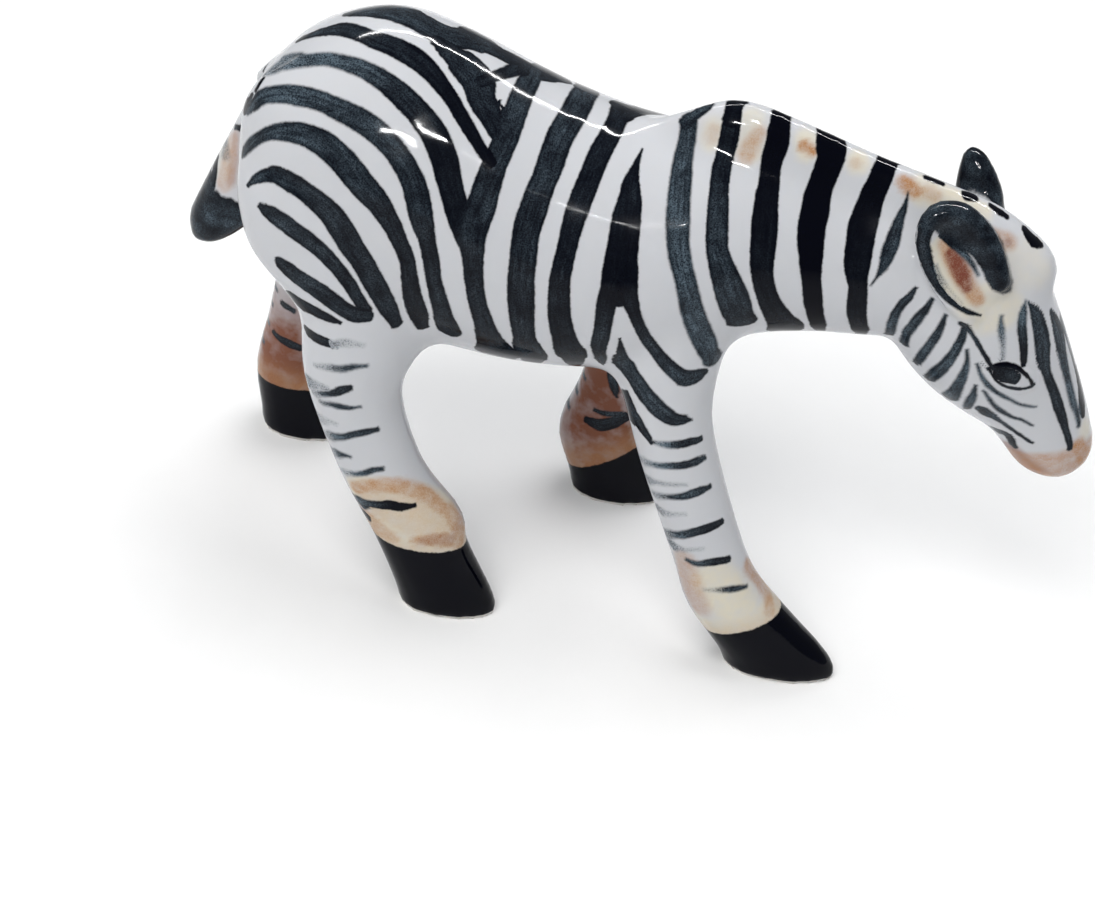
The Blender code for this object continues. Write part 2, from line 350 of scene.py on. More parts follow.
# Each mark: density at both ends, points (u, v, width) in pixels of the view, mm it runs on before and after
bodyMarks = {
    "spine": (0.80, 0.90, [(350, 13, 3), (366, 11, 7), (383, 11, 11), (401, 14, 16), (421, 23, 19),
        (441, 34, 21), (463, 39, 16), (487, 44, 18), (509, 53, 20), (529, 63, 22), (546, 72, 14),
        (557, 77, 5)]),
    "spineFork": (0.88, 0.90, [(440, 44, 12), (450, 53, 18), (461, 62, 24), (469, 70, 31), (476, 79, 32),
        (479, 89, 30), (482, 100, 28), (487, 109, 26), (491, 118, 23), (496, 128, 20)]),
    "spineBridge": (0.88, 0.88, [(520, 68, 11), (508, 72, 11), (496, 76, 11), (484, 81, 10)]),
    "rumpA": (0.82, 0.98, [(300, 39, 2), (320, 32, 5), (340, 29, 10), (358, 33, 14), (375, 40, 17),
        (392, 46, 20), (410, 55, 22), (426, 67, 21), (439, 82, 18), (451, 98, 16), (462, 117, 15),
        (471, 132, 14), (480, 147, 13), (488, 160, 12)]),
    "rumpB": (0.30, 0.96, [(262, 79, 2), (275, 68, 5), (290, 63, 8), (305, 61, 11), (325, 59, 13),
        (345, 63, 16), (365, 70, 19), (385, 82, 22), (402, 96, 25), (416, 110, 26), (428, 125, 27),
        (437, 140, 28), (444, 158, 28), (448, 175, 27), (453, 195, 25), (459, 215, 26), (467, 235, 26)]),
    "rumpC": (0.62, 0.90, [(248, 110, 3), (262, 97, 13), (280, 94, 18), (300, 96, 21), (320, 101, 21),
        (340, 110, 23), (360, 120, 25), (377, 132, 25), (392, 147, 24), (404, 164, 24), (413, 182, 25),
        (418, 200, 26), (422, 220, 24), (427, 240, 18), (431, 260, 17), (434, 280, 16), (439, 300, 16),
        (445, 320, 15), (450, 331, 12)]),
    "rumpD": (0.68, 0.93, [(243, 153, 3), (253, 142, 9), (270, 133, 15), (290, 132, 21), (308, 136, 24),
        (325, 145, 27), (340, 158, 28), (352, 172, 28), (365, 188, 27), (378, 203, 24), (390, 222, 20),
        (399, 240, 17), (407, 260, 16), (410, 280, 17), (413, 298, 18), (418, 314, 17), (421, 325, 13)]),
    "rumpE": (0.80, 0.90, [(249, 184, 4), (260, 177, 12), (275, 175, 17), (290, 182, 20), (304, 191, 20),
        (318, 202, 22), (331, 214, 24), (342, 230, 25), (352, 247, 24), (363, 263, 22), (372, 279, 22),
        (381, 295, 21), (389, 310, 19), (395, 321, 14)]),
    "rumpF": (0.80, 0.88, [(262, 208, 6), (270, 213, 14), (282, 221, 17), (295, 231, 17), (308, 240, 17),
        (320, 250, 16), (331, 261, 15), (341, 273, 14), (350, 285, 14), (357, 297, 13), (364, 308, 13)]),
    "rumpG": (0.82, 0.88, [(279, 261, 5), (287, 268, 13), (298, 277, 15), (310, 285, 16), (322, 293, 17),
        (334, 302, 17), (345, 310, 16), (356, 315, 16), (365, 316, 12)]),
    "rumpH": (0.92, 0.92, [(294, 298, 5), (302, 304, 8), (311, 309, 9), (320, 314, 9), (329, 318, 8),
        (338, 322, 4)]),
    "flankA": (0.82, 0.90, [(537, 69, 16), (530, 80, 22), (523, 93, 23), (517, 108, 24), (512, 122, 25),
        (506, 138, 26), (500, 152, 26), (494, 166, 26), (489, 180, 28), (485, 193, 29), (481, 206, 31),
        (475, 220, 33), (472, 238, 28), (473, 260, 22), (474, 280, 20), (477, 300, 18), (483, 320, 17),
        (491, 340, 17), (499, 352, 15)], 2.4, 3.0),
    "flankB": (0.80, 0.90, [(589, 86, 16), (583, 96, 27), (573, 115, 28), (561, 135, 28), (555, 150, 28),
        (550, 165, 28), (544, 180, 27), (538, 195, 28), (533, 210, 29), (528, 225, 29), (525, 240, 28),
        (523, 260, 28), (521, 280, 28), (521, 300, 28), (522, 320, 25), (525, 340, 20),
        (531, 354, 17)], 2.4, 3.0),
    "flankC": (0.94, 0.94, [(650, 112, 3), (638, 110, 8), (627, 110, 14), (619, 117, 20), (615, 125, 21),
        (609, 137, 22), (599, 155, 23), (591, 175, 23), (581, 200, 24), (574, 220, 23), (569, 240, 21),
        (564, 260, 21), (560, 280, 22), (559, 300, 23), (560, 320, 24), (565, 340, 22),
        (571, 352, 20)], 2.0, 3.0),
    "shoulder": (0.93, 0.98, [(642, 150, 2), (638, 160, 6), (634, 172, 11), (631, 185, 18), (630, 200, 24),
        (627, 215, 29), (625, 230, 31), (623, 245, 32), (621, 260, 34), (620, 275, 37), (619, 288, 38)]),
    "shoulderRear": (0.97, 0.84, [(610, 290, 21), (607, 302, 21), (604, 318, 19), (602, 333, 18),
        (599, 347, 16), (601, 359, 10)], 0, 1.0),
    "shoulderFront": (0.97, 0.80, [(628, 290, 20), (631, 303, 17), (636, 318, 13), (644, 335, 12),
        (654, 349, 12), (664, 361, 14), (674, 371, 16), (684, 378, 17), (695, 377, 13), (704, 373, 5)]),
    "elbow": (0.84, 0.78, [(620, 340, 3), (621, 350, 9), (623, 361, 15), (629, 370, 14), (636, 380, 15),
        (643, 391, 16), (652, 402, 17), (662, 412, 17), (673, 419, 14), (683, 420, 9), (690, 420, 3)]),
    "elbowRear": (0.80, 0.80, [(618, 360, 12), (613, 370, 12), (613, 380, 11), (615, 390, 8), (616, 396, 3)]),
    "forearm": (0.85, 0.85, [(628, 394, 3), (629, 404, 9), (634, 415, 9), (640, 425, 8), (646, 434, 7),
        (650, 441, 4)]),
    "neckA": (0.66, 0.62, [(689, 122, 18), (687, 140, 18), (683, 160, 20), (681, 180, 23), (679, 200, 24),
        (678, 220, 25), (678, 240, 24), (680, 258, 23), (684, 275, 22), (688, 292, 23), (692, 310, 24),
        (698, 327, 25), (705, 342, 24), (711, 356, 17)], 0, 1.2),
    "neckACrest": (0.70, 0.80, [(687, 121, 12), (699, 113, 10), (708, 107, 8)], 0, 0.6),
    "neckB": (0.93, 0.80, [(734, 106, 18), (732, 120, 19), (729, 138, 20), (725, 155, 19), (721, 172, 20),
        (719, 190, 20), (718, 210, 22), (717, 230, 23), (717, 248, 23), (720, 262, 25), (725, 277, 29),
        (730, 291, 32), (735, 304, 33), (739, 315, 30)], 0, 1.5),
    "neckBCrest": (0.97, 0.97, [(732, 116, 18), (736, 106, 15), (739, 101, 10)], 0, 0.6),
    "neckC": (1.00, 0.96, [(781, 117, 18), (779, 130, 23), (777, 145, 24), (772, 160, 22), (770, 175, 21),
        (768, 190, 23), (766, 205, 25), (765, 220, 27), (764, 235, 27), (763, 250, 26), (762, 265, 24),
        (763, 278, 22), (766, 292, 22), (771, 305, 23), (778, 316, 22), (785, 325, 19)], 0, 2.0),
    "neckCCrest": (1.00, 1.00, [(780, 127, 20), (783, 119, 17), (785, 114, 12)], 0, 0.6),
    "neckD": (1.00, 1.00, [(831, 134, 28), (831, 146, 30), (831, 158, 28), (826, 172, 27), (821, 185, 26),
        (817, 198, 28), (815, 212, 29), (812, 225, 29), (811, 240, 28), (811, 255, 25), (811, 270, 22),
        (812, 285, 20), (813, 300, 20), (815, 313, 18), (818, 324, 15)], 0, 2.0),
    "neckDCrest": (1.00, 1.00, [(832, 146, 28), (833, 138, 25), (835, 133, 18)], 0, 0.6),
    "neckE": (1.00, 0.97, [(888, 160, 21), (884, 170, 23), (879, 182, 24), (873, 194, 25), (869, 206, 27),
        (865, 218, 29), (862, 230, 30), (860, 243, 29), (858, 257, 28), (857, 272, 24), (858, 287, 20),
        (857, 302, 21), (857, 316, 20), (860, 328, 15)], 0, 2.0),
    "neckECrest": (1.00, 1.00, [(884, 169, 23), (888, 162, 20), (891, 157, 14)], 0, 0.6),
    "throat": (0.75, 0.70, [(908, 193, 2), (905, 206, 6), (900, 218, 10), (896, 230, 13), (892, 243, 16),
        (888, 254, 15), (884, 265, 10), (879, 274, 5), (872, 284, 2)]),
}

headMarks = {
    "maneSpotA": (1.00, 1.00, [(929, 177, 8), (940, 181, 8)]),
    "maneSpotB": (1.00, 1.00, [(970, 194, 15), (972, 194, 15)]),
    "maneSpotC": (1.00, 1.00, [(994, 206, 8), (999, 209, 11), (1005, 213, 9)]),
    "maneSpotD": (1.00, 1.00, [(1029, 231, 12), (1034, 237, 16), (1040, 241, 9)]),
    "jowlA": (0.80, 0.66, [(915, 289, 4), (909, 297, 8), (902, 304, 9), (896, 313, 9), (892, 323, 10),
        (890, 333, 10)], 0, 0.3),
    "jowlB": (0.70, 0.64, [(931, 301, 5), (926, 309, 8), (919, 317, 10), (913, 325, 10), (907, 333, 10),
        (904, 342, 10)], 0, 0.5),
    "jowlC": (0.66, 0.66, [(945, 317, 5), (941, 327, 8), (936, 336, 10), (930, 345, 10), (923, 354, 11),
        (918, 361, 10)], 0, 0.6),
    "jowlD": (0.70, 0.68, [(965, 327, 7), (962, 337, 9), (958, 346, 10), (952, 356, 11), (944, 366, 12),
        (936, 373, 12), (930, 378, 10)], 0, 0.6),
    "jowlE": (0.55, 0.62, [(967, 352, 4), (967, 363, 6), (964, 373, 9), (960, 382, 11), (955, 391, 13),
        (950, 397, 12)], 0, 0.8),
    "jowlF": (0.58, 0.62, [(975, 387, 4), (973, 395, 8), (970, 401, 9), (967, 407, 8)], 0, 0.8),
    "eyeCorner": (0.70, 0.85, [(964, 325, 5), (971, 333, 5), (977, 342, 5), (982, 351, 5), (987, 359, 5),
        (992, 367, 5)]),
    "whiskerA": (0.55, 0.55, [(978, 366, 4), (982, 377, 5), (989, 386, 5), (996, 392, 4), (1003, 396, 4),
        (1011, 400, 3), (1019, 404, 3), (1027, 406, 3), (1034, 407, 2)]),
    "whiskerB": (0.55, 0.60, [(985, 392, 3), (990, 400, 4), (996, 407, 4), (1003, 412, 4), (1012, 417, 3),
        (1022, 420, 3), (1031, 425, 2)]),
    "whiskerC": (0.62, 0.74, [(982, 409, 6), (988, 414, 6), (995, 418, 4), (1003, 423, 3), (1010, 428, 3),
        (1020, 435, 3), (1030, 442, 3)]),
    "whiskerD": (0.62, 0.80, [(996, 430, 3), (1004, 433, 4), (1010, 438, 4), (1013, 445, 4)]),
    "browA": (0.42, 0.22, [(1001, 319, 4), (1001, 328, 7), (1002, 336, 7), (1003, 346, 5), (1003, 358, 4)]),
    "browB": (0.40, 0.92, [(1025, 304, 3), (1023, 313, 8), (1022, 325, 9), (1023, 338, 9), (1024, 350, 8),
        (1024, 362, 6)]),
    "noseA": (0.72, 0.82, [(1029, 304, 3), (1034, 312, 9), (1038, 322, 12), (1041, 334, 14), (1043, 347, 14),
        (1044, 358, 12), (1046, 370, 9), (1050, 382, 9), (1055, 395, 10), (1059, 408, 10), (1063, 420, 9),
        (1066, 431, 7), (1069, 440, 7), (1070, 446, 6)]),
    "noseB": (0.70, 0.45, [(1051, 313, 3), (1056, 325, 7), (1060, 338, 9), (1062, 350, 8), (1064, 362, 7),
        (1067, 376, 6), (1070, 389, 6), (1073, 401, 6), (1077, 413, 5), (1079, 423, 4)]),
    "noseC": (0.55, 0.92, [(1062, 322, 3), (1067, 336, 3), (1072, 352, 3), (1076, 368, 3), (1079, 382, 3),
        (1081, 395, 5), (1082, 404, 6), (1083, 412, 4)]),
    "lidTop": (1.00, 1.00, [(990, 368, 4), (995, 366, 6), (1003, 365, 7), (1012, 366, 7), (1019, 369, 6),
        (1024, 373, 5), (1029, 378, 4), (1032, 383, 4)]),
    "lidBottom": (0.95, 0.85, [(990, 370, 4), (993, 376, 3), (998, 382, 3), (1005, 386, 3), (1012, 388, 3),
        (1020, 389, 3), (1027, 388, 2), (1032, 386, 3)]),
    "pupil": (0.96, 0.90, [(1001, 373, 13), (1007, 375, 17), (1013, 378, 13)]),
}

earMarks = {
    "earRim": (0.88, 0.80, [(941, 216, 20), (931, 222, 18), (925, 232, 15), (923, 245, 14), (926, 259, 13),
        (931, 272, 12), (937, 284, 11), (945, 295, 9), (955, 304, 7), (966, 311, 6), (979, 315, 3)]),
    # Dry-brushed ink in the ear's dish below the roll, partly painted shadow of the roll
    "earBrushAndShadow": (0.85, 0.40, [(943, 236, 8), (952, 243, 10), (962, 251, 10), (971, 262, 7), (977, 273, 4)]),
    "earBrushLow": (0.30, 0.10, [(937, 268, 2), (943, 281, 3), (951, 292, 3), (961, 302, 2)]),
}

legMarks = {
    "thighA": (0.97, 0.92, [(307, 331, 4), (313, 336, 6), (321, 340, 8), (329, 343, 8), (335, 345, 5)]),
    "thighB": (0.20, 0.10, [(336, 344, 6), (345, 343, 8), (354, 344, 7), (361, 345, 4)]),
    "gaskinA": (0.15, 0.40, [(316, 366, 3), (330, 368, 6), (342, 369, 7), (352, 367, 6), (364, 366, 4)]),
    "gaskinB": (0.30, 0.15, [(301, 377, 4), (312, 383, 5), (325, 387, 4)]),
    "gaskinC": (0.20, 0.80, [(314, 393, 4), (326, 394, 5), (335, 393, 7), (342, 390, 9), (348, 388, 6)]),
    "gaskinD": (0.30, 0.60, [(322, 403, 3), (333, 405, 5), (342, 407, 6), (351, 408, 4), (358, 407, 3)]),
    "hockA": (0.25, 0.10, [(307, 410, 4), (313, 415, 5), (322, 419, 4), (334, 423, 3)]),
    "hockB": (0.18, 0.70, [(321, 434, 3), (332, 436, 5), (343, 437, 6), (355, 434, 7), (366, 432, 7),
        (375, 430, 5)]),
    "hockC": (0.20, 0.45, [(332, 452, 4), (340, 454, 4), (348, 456, 3)]),
    "cannonA": (0.18, 0.62, [(344, 472, 3), (355, 474, 4), (365, 473, 6), (373, 470, 6), (380, 469, 5)]),
    "pasternA": (0.45, 1.00, [(352, 497, 5), (361, 502, 6), (371, 504, 6), (381, 505, 8), (390, 505, 10),
        (400, 507, 9), (412, 506, 5)]),
    "pasternB": (0.85, 0.85, [(361, 511, 5), (365, 515, 5), (367, 518, 3)]),
    "foreA": (0.25, 0.80, [(651, 441, 3), (660, 444, 5), (675, 445, 8), (690, 442, 8), (699, 440, 6)]),
    "foreB": (0.18, 0.74, [(641, 460, 3), (655, 465, 5), (670, 466, 7), (685, 465, 8), (697, 461, 8),
        (703, 459, 5)]),
    "foreC": (0.22, 0.15, [(643, 476, 3), (652, 481, 3), (665, 484, 4), (684, 485, 3)]),
    "foreD": (0.20, 0.72, [(655, 495, 4), (670, 497, 5), (685, 496, 8), (697, 492, 9), (708, 488, 5)]),
    "foreE": (0.25, 0.12, [(652, 505, 3), (660, 510, 4), (670, 514, 4), (683, 514, 3)]),
    "foreF": (0.22, 0.86, [(664, 533, 3), (680, 535, 7), (695, 532, 9), (708, 528, 9), (720, 523, 6)]),
    "foreG": (0.30, 0.12, [(665, 540, 4), (675, 546, 5), (685, 550, 4), (701, 549, 3)]),
    "foreH": (0.45, 0.80, [(689, 561, 4), (698, 564, 6), (712, 562, 8), (726, 560, 7)]),
    "foreI": (0.12, 0.52, [(706, 590, 3), (720, 590, 5), (733, 589, 7), (745, 587, 4)]),
    "farKnee": (0.85, 0.88, [(589, 421, 7), (600, 425, 12), (612, 423, 12), (622, 418, 10)]),
    "farKneeB": (0.70, 0.70, [(597, 411, 4), (607, 414, 6), (619, 414, 5)]),
    "farHockA": (0.85, 0.85, [(275, 334, 4), (282, 340, 6), (290, 344, 8), (297, 347, 7)]),
    "farHockB": (0.70, 0.70, [(284, 305, 5), (291, 309, 5)]),
}

tailMarks = {
    "tailA": (1.00, 1.00, [(270, 61, 5), (264, 69, 6)]),
    "tailB": (1.00, 1.00, [(262, 80, 3), (257, 88, 3)]),
    "tailC": (1.00, 1.00, [(251, 98, 3), (246, 107, 4)]),
    "tailD": (0.70, 0.90, [(236, 127, 6), (241, 128, 7)]),
    "tailE": (0.25, 0.15, [(224, 142, 6), (226, 152, 7)]),
    "tailF": (0.90, 0.90, [(215, 158, 6), (212, 173, 11), (207, 188, 16)]),
}


def paintMarks(paint, tree, marks, mirror):
    for name, (first, last, points, *carry) in marks.items():
        rows = ribbon(tree, points)
        if rows is None:
            print("  no skin under", name)
            continue
        before, after = carry or (0, 0)
        if after:
            rows = runOn(tree, rows, after * mm)
        if before:
            rows = runOn(tree, rows[::-1], before * mm, 0.0)[::-1]
        paint.stroke(rows, (first, last))
        if mirror:
            other = mirrored(tree, rows)
            if other:
                paint.stroke(other, (first, last), behind=True)


# Tints are soft: density, softness in pixels, then the same rows of points
tints = {
    "cream": {
        "earBase": (0.62, 16, [(972, 302, 22), (1000, 305, 30), (985, 318, 16)]),
        "dish": (0.75, 8, [(940, 250, 16), (950, 280, 18), (966, 298, 14)]),
        "brow": (0.34, 18, [(1030, 254, 16), (1020, 268, 22), (1040, 272, 14)]),
        "maneA": (0.55, 12, [(714, 128, 10), (712, 140, 10)]),
        "maneB": (0.55, 12, [(752, 120, 12), (750, 150, 16)]),
        "maneC": (0.70, 10, [(806, 140, 12), (806, 152, 10)]),
        "maneD": (0.75, 10, [(858, 162, 14)]),
        "maneE": (0.75, 12, [(925, 190, 20), (945, 196, 14), (980, 212, 12)]),
        "forePastern": (0.75, 16, [(715, 580, 30), (735, 605, 34)]),
        "hindPastern": (0.85, 12, [(365, 492, 20), (400, 503, 30), (434, 516, 40), (404, 532, 30),
            (384, 526, 20)]),
        "nose": (0.60, 12, [(1086, 428, 10)]),
        "tail": (0.35, 6, [(226, 150, 10), (222, 172, 10)]),
    },
    "tan": {
        "maneA": (0.30, 7, [(714, 130, 6), (712, 138, 6)]),
        "maneB": (0.55, 8, [(760, 133, 5), (750, 147, 9), (747, 156, 8)]),
        "maneC": (0.90, 5, [(805, 146, 8), (813, 151, 6)]),
        "maneD": (0.35, 5, [(856, 163, 7)]),
        "maneE": (0.95, 7, [(904, 182, 7), (911, 188, 9), (916, 191, 6)]),
        "maneF": (0.45, 7, [(928, 192, 8), (936, 196, 6)]),
        "poll": (0.55, 8, [(1004, 239, 10), (1010, 242, 8)]),
        "earDish": (0.75, 8, [(946, 244, 9), (954, 258, 14), (962, 274, 14), (970, 289, 9), (978, 300, 6)]),
        "hindPasternTop": (0.72, 7, [(356, 488, 7), (380, 486, 10), (405, 488, 11), (428, 496, 11),
            (442, 508, 9)]),
        "hindPasternSide": (0.70, 9, [(450, 512, 9), (458, 526, 10), (460, 538, 8)]),
        "hindHeel": (0.60, 9, [(366, 516, 8), (380, 530, 8), (392, 538, 5)]),
        "hindCoronet": (0.75, 6, [(416, 541, 5), (438, 540, 9), (456, 541, 9)]),
        "hindPasternAll": (0.30, 14, [(372, 500, 14), (402, 512, 26), (432, 524, 30)]),
        "muzzleTip": (0.80, 8, [(1078, 446, 10), (1084, 456, 12)]),
        "forePastern": (0.50, 10, [(684, 560, 10), (690, 585, 12), (699, 606, 9)]),
        "foreToe": (0.62, 7, [(748, 566, 6), (758, 578, 7), (768, 596, 6), (770, 610, 6)]),
        "tail": (0.45, 6, [(233, 140, 6), (230, 155, 9), (227, 172, 10), (224, 184, 10)]),
    },
    "rust": {
        "earDish": (0.92, 6, [(952, 254, 8), (958, 266, 11), (963, 278, 9), (967, 288, 4)]),
        "hindCoronet": (0.30, 5, [(424, 541, 5), (438, 540, 7), (450, 540, 6)]),
        "pollSpeck": (0.40, 4, [(1008, 243, 5)]),
    },
    "brownAndShade": {
        # On the far legs this brown is their tan glaze deepened into painted shade under the body
        "farHind": (1.00, 16, [(286, 330, 22), (280, 346, 40), (277, 374, 50)]),
        "tail": (0.35, 5, [(237, 134, 4), (234, 158, 5), (231, 182, 5)]),
        "muzzle": (0.75, 12, [(1010, 450, 8), (1021, 463, 12), (1034, 472, 10)]),
        "farFore": (1.00, 10, [(600, 380, 34), (592, 420, 60), (600, 452, 64)]),
    },
}

# Tints that the far side doesn't get
oneSided = ("earDish", "dish", "earBase", "tail", "poll", "pollSpeck")


def paintTints(paint, tree):
    for name, spots in tints.items():
        for spot, (density, softness, points) in spots.items():
            rows = ribbon(tree, points)
            if rows is None:
                continue
            paint.soak(name, rows, density, softness * perPixel)
            other = None if spot in oneSided else mirrored(tree, rows)
            if other:
                paint.soak(name, other, density, softness * perPixel, behind=True)


# Hoof tops: a rear and a front point on each painted edge, and the box that the leg stands in
hooves = {
    "nearHind": {"rear": (382, 539), "front": (457, 549), "x": (-22.0, 2.0), "y": (-12.0, -4.0)},
    "farHind": {"rear": (262, 377), "front": (291, 389), "x": (-33.0, -12.0), "y": (4.0, 12.0)},
    "nearFore": {"rear": (708, 630), "front": (772, 619), "x": (3.0, 24.0), "y": (-12.0, -4.0)},
    "farFore": {"rear": (582, 467), "front": (625, 454), "x": (-10.0, 10.0), "y": (4.0, 12.0)},
}

legTop = 26.0 * mm  # where those boxes end


def insideBox(points, box):
    return ((points[:, 0] > box["x"][0] * mm) & (points[:, 0] < box["x"][1] * mm)
            & (points[:, 1] > box["y"][0] * mm) & (points[:, 1] < box["y"][1] * mm))


# Brown on the inner sides of the legs, partly tan glaze and partly painted shade between the legs, with
# heights in mm
innerBrownShade = {
    "share": 0.75,
    "inward": (-0.15, 0.55),  # how far a face turns inward for none and for all of it
    "heights": {"nearHind": 13.0, "farHind": 15.0, "nearFore": 8.0, "farFore": 12.0},
    "fade": (-4.0, 3.0),  # it fades out round that height
}

# Tints above a hoof: how strong, and between which heights over its edge they fade, in mm
coronets = {
    "near": {"cream": (0.80, 0.8, 2.6), "tan": (0.22, 0.1, 1.6)},
    "far": {"cream": (0.50, 0.5, 4.0), "tan": (0.50, 0.2, 3.2)},
}


def paintHooves(paint, tree):  # black below a plane through two points of the painted edge
    for name, hoof in hooves.items():
        rear = hitPixel(tree, *hoof["rear"])[0]
        front = hitPixel(tree, *hoof["front"])[0]
        normal = (front - rear).cross(Vector((0, 1, 0))).normalized()
        if normal.z < 0:
            normal = -normal
        here = insideBox(paint.points, hoof) & (paint.points[:, 2] < legTop)
        height = (paint.points - np.array(rear)) @ np.array(normal) / mm
        paint.dip(np.where(here & (height < 3), height, 3.0), 1.0)
        side = "near" if name.startswith("near") else "far"
        # Painted shade: the faces that turn inward, towards the other legs, get brown, over their tan glaze
        inner = paint.normals[:, 1] * (1 if side == "near" else -1)
        start, end = (innerBrownShade["heights"][name] + off for off in innerBrownShade["fade"])
        share = innerBrownShade["share"] * (1 - smoothStep(paint.points[:, 2] / mm, start, end))
        paint.wash("brownAndShade", np.where(here, share * smoothStep(inner, *innerBrownShade["inward"]), 0))
        for tint, (share, low, high) in coronets[side].items():
            paint.wash(tint, np.where(here, share * (1 - smoothStep(height, low, high)), 0))


# The tail's dark tuft: its top edge in mm, and how far the tail reaches
tuft = {"top": 28.4, "front": -28.4, "low": 20.0, "halfWidth": 3.1, "tilt": 0.16,
        "waves": ((0.35, 2.1), (0.10, 6.3))}


def paintTail(paint):
    points = paint.points / mm
    tail = (points[:, 0] < tuft["front"]) & (np.abs(points[:, 1] - skin["middle"] / mm) < tuft["halfWidth"])
    tail &= points[:, 2] > tuft["low"]
    (broad, rate), (fine, fineRate) = tuft["waves"]
    slope = tuft["tilt"] * (points[:, 0] + 31) + broad * np.sin(points[:, 1] * rate)
    slope += fine * np.sin(points[:, 0] * fineRate + 1)
    paint.dip(np.where(tail, np.clip(points[:, 2] - tuft["top"] + slope, -3, 3), 3.0), 0.84)


# Short marks on the outside of the two far legs: heights and width in mm, turn from the rear in degrees
farBands = {
    "heights": {"farHind": (8.6, 10.6, 12.6, 14.4, 16.4, 18.6),
                "farFore": (8.2, 9.9, 11.6, 13.4, 15.2, 17.2)},
    "from": -15.0, "to": 100.0, "width": 0.50, "density": (0.50, 0.85),
    "shorter": 18.0,  # degrees that every second mark lacks
    "steps": 14,
}


def paintFarLegs(paint, tree):
    start, width = farBands["from"], farBands["width"]
    for name, heights in farBands["heights"].items():
        here = insideBox(paint.points, hooves[name])
        for number, height in enumerate(heights):
            level = here & (np.abs(paint.points[:, 2] - height * mm) < 0.3 * mm)
            if not level.any():
                continue
            centre = Vector(paint.points[level].mean(0))
            rows = []
            spread = farBands["to"] - start - farBands["shorter"] * (number % 2)
            for turn in np.linspace(start, start + spread, farBands["steps"]):
                angle = math.radians(turn)
                way = Vector((-math.cos(angle), math.sin(angle), 0.10 * math.sin(3 * angle)))
                place, normal, _, _ = tree.ray_cast(centre, way)
                if place is None:
                    continue
                share = (turn - start) / spread
                half = width / 2 * mm * (0.35 + 1.1 * math.sin(math.pi * min(1, 0.12 + 0.88 * share)))
                rows.append((place, half, Vector((0, 0, 1)), normal if normal.dot(way) > 0 else -normal))
            if len(rows) > 2:
                paint.stroke(rows, farBands["density"])


ears = {
    "near": {"root": (22.1, -5.0, 32.5), "tip": (16.1, -3.7, 40.0), "faces": (0.10, -0.85, 0.45), "half": 3.6,
             "front": 2.2, "behind": -1.5},
    "far": {"root": (21.6, 2.9, 33.0), "tip": (19.2, 4.0, 39.4), "faces": (0.35, 0.90, 0.10), "half": 2.9,
            "front": 2.2, "behind": -1.2},
}


def earPlaces(points, ear):  # along, across and in front of the middle of an ear, in mm
    root, tip, faces = (np.array(ear[key], float) for key in ("root", "tip", "faces"))
    length = np.linalg.norm(tip - root)
    along = (tip - root) / length
    faces = faces - along * (faces @ along)
    faces /= np.linalg.norm(faces)
    off = points / mm - root
    return off @ along, off @ np.cross(along, faces), off @ faces, length, faces


# The paint of the ears, in mm along the ear
earPaint = {
    "past": 2.5,  # past the tip
    "seen": 0.6,  # above the root of the near ear, on the side that is seen
    "hidden": 2.0,  # and on its other side
    "far": 0.5,  # above the root of the far ear
    "hollow": 0.62,  # how squarely a face of the far ear's hollow looks out of it
    "cream": 0.8,
    "rust": (0.6, 0.22, 0.36),  # its share, and where in the hollow it starts and is full
    "ink": 0.88,
}

# The dark roll of the near ear, as an outline in the view that runs past the ear on its outer side
earRoll = [
    (914, 226), (915, 212), (922, 203), (932, 198), (945, 195), (960, 199), (973, 206), (985, 217),
    (994, 228), (1002, 241), (1008, 260), (1013, 282), (1011, 292), (1003, 295), (992, 290), (986, 281),
    (981, 269), (972, 257), (960, 248), (946, 241), (936, 232), (930, 226)]


def paintEars(paint):
    for name, ear in ears.items():
        along, across, ahead, length, faces = earPlaces(paint.points, ear)
        outside = np.maximum(ear["behind"] - ahead, ahead - ear["front"])
        outside = np.maximum(outside, np.abs(across) - ear["half"])
        outside = np.maximum(outside, along - length - earPaint["past"])
        if name == "near":
            roll = insideOutline(toPixels(paint.points), earRoll)
            seen = np.maximum(np.maximum(outside, roll), earPaint["seen"] - along)
            hidden = np.maximum(outside, earPaint["hidden"] - along)
            field = np.where(paint.facing > 0.02, seen, hidden)
        else:
            # The hollow faces away from the view and stays cream
            hollow = (paint.normals @ faces) - earPaint["hollow"]
            field = np.maximum(np.maximum(outside, earPaint["far"] - along), hollow * 1.5)
            paint.wash("cream", np.where((outside < 0) & (hollow > -0.1), earPaint["cream"], 0))
            share, low, high = earPaint["rust"]
            paint.wash("rust", np.where(outside < 0, share * smoothStep(hollow, low, high), 0))
        paint.dip(np.clip(field, -3, 3), earPaint["ink"])


# The tan muzzle: three points on its edge in the view, and the x in front of which it lies
muzzle = {"edge": [(1014, 450), (1048, 453), (1088, 439)], "from": 22.0 * mm, "softness": 0.35 * mm,
          "tan": 0.60}


def paintMuzzle(paint, tree):
    a, b, c = (hitPixel(tree, *spot)[0] for spot in muzzle["edge"])
    normal = (b - a).cross(c - a).normalized()
    if normal.z > 0:
        normal = -normal
    depth = (paint.points - np.array(a)) @ np.array(normal)
    near = paint.points[:, 0] > muzzle["from"]
    soft = muzzle["softness"]
    paint.wash("tan", np.where(near, muzzle["tan"] * smoothStep(depth, -soft, soft), 0))


def storeValues(obj, name, values, kind="FLOAT"):
    attribute = obj.data.attributes.new(name, kind, "POINT")
    key = "vector" if kind == "FLOAT_VECTOR" else "value"
    attribute.data.foreach_set(key, np.asarray(values, np.float32).ravel())


